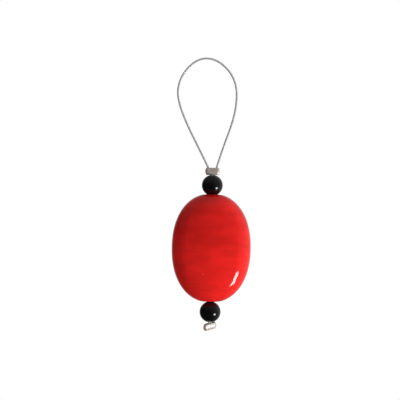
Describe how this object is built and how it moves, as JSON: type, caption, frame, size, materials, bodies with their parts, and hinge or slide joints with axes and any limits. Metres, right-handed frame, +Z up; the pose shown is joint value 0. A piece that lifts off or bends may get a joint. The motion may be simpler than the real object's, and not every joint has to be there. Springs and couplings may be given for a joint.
{
  "type": "stitch marker",
  "caption": "Hanging stitch marker: a coated wire loop that slips over a knitting needle, crimped above and below round black beads and a large flattened red glass bead.",
  "frame": {"origin": "inside of the loop's crown, where the needle bears, in the middle of the wire's thickness", "axes": "+Z up along the beads' axis, +X to the right and -Y towards the viewer in the picture, so the red bead's flat face looks along -Y"},
  "size_m": [0.015, 0.0082, 0.0521],
  "materials": {
    "steel_strand": "fine twisted strands, bright",
    "clear_nylon": "clear, glossy",
    "crimp_metal": "warm silver plate, pressed flat and lightly worn",
    "black_glass": "opaque, polished",
    "red_glass": "opaque, polished, faint streaks from winding"
  },
  "bodies": {
    "wire_and_crimps": {"steel_cable": "steel_strand", "nylon_jacket": "clear_nylon", "upper_crimp": "crimp_metal", "lower_crimp": "crimp_metal"},
    "upper_black_bead": {"upper_black_bead": "black_glass"},
    "red_bead": {"red_glass_bead": "red_glass"},
    "lower_black_bead": {"lower_black_bead": "black_glass"}
  },
  "joints": [
    {"name": "upper_black_bead_spin", "type": "hinge", "parent": "wire_and_crimps", "child": "upper_black_bead", "pos_m": [0.0014, 0, -0.02395], "axis": [0, 0, 1], "continuous": true},
    {"name": "red_bead_spin", "type": "hinge", "parent": "wire_and_crimps", "child": "red_bead", "pos_m": [0.0014, 0, -0.03589], "axis": [0, 0, 1], "continuous": true},
    {"name": "lower_black_bead_spin", "type": "hinge", "parent": "wire_and_crimps", "child": "lower_black_bead", "pos_m": [0.0014, 0, -0.04803], "axis": [0, 0, 1], "continuous": true}
  ]
}
